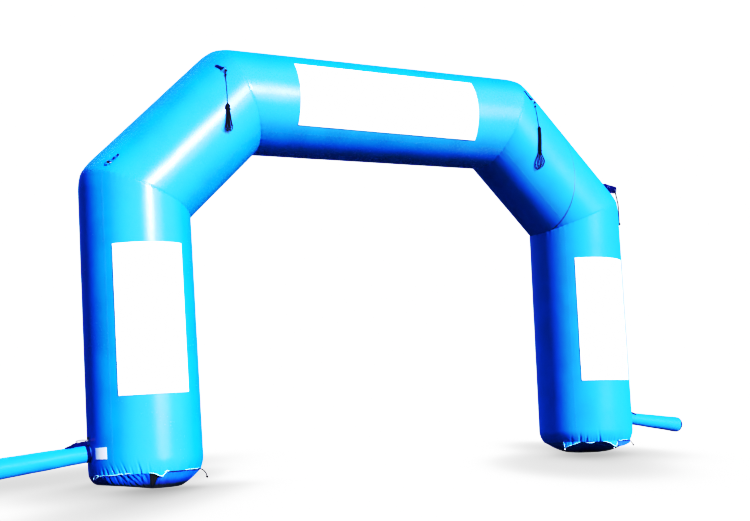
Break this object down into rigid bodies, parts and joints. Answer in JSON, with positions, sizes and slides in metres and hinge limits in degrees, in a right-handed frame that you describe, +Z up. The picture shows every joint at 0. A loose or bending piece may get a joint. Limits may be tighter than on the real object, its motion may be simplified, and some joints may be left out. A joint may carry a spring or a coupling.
{
  "type": "inflatable arch",
  "caption": "Inflatable arch of glossy coated fabric: mitred tube lengths on gathered feet, bare banner panels, air sleeves, and guy points with their ropes hung up in hanks.",
  "frame": {"origin": "on the ground, midway between the legs' feet and on the centre plane of the tube", "axes": "+Z up; +X along the arch from the leg with the blower sleeve to the other leg; the banner panels face -Y"},
  "size_m": [9.2621, 1.2366, 4.9656],
  "materials": {
    "tube_cloth": "glossy coated",
    "base_cloth": "satin coated",
    "panel_cloth": "satin coated",
    "patch_cloth": "matte",
    "webbing": "woven webbing",
    "ring_metal": "satin",
    "cord": "braided cord"
  },
  "bodies": {
    "root": {"leg_left": "tube_cloth", "leg_right": "tube_cloth", "diagonal_left": "tube_cloth", "diagonal_right": "tube_cloth", "crown_beam": "tube_cloth", "blower_sleeve": "tube_cloth", "spare_sleeve": "tube_cloth", "base_left": "base_cloth", "base_right": "base_cloth", "panel_leg_left": "panel_cloth", "panel_leg_right": "panel_cloth", "panel_crown": "panel_cloth", "care_patch": "patch_cloth", "tab_crown_left": "webbing", "tab_crown_right": "webbing", "tab_shoulder_left": "webbing", "tab_shoulder_right": "webbing", "blower_sleeve_tie": "webbing", "spare_sleeve_tie": "webbing", "spare_sleeve_patch": "webbing", "ring_crown_left": "ring_metal", "ring_crown_right": "ring_metal", "ring_shoulder_left": "ring_metal", "ring_shoulder_right": "ring_metal", "guy_cord_left": "cord", "guy_cord_right": "cord", "guy_hank_left": "cord", "guy_hank_right": "cord", "shoulder_cord_right": "cord", "drawcord_left": "cord", "drawcord_right": "cord"}
  },
  "joints": []
}
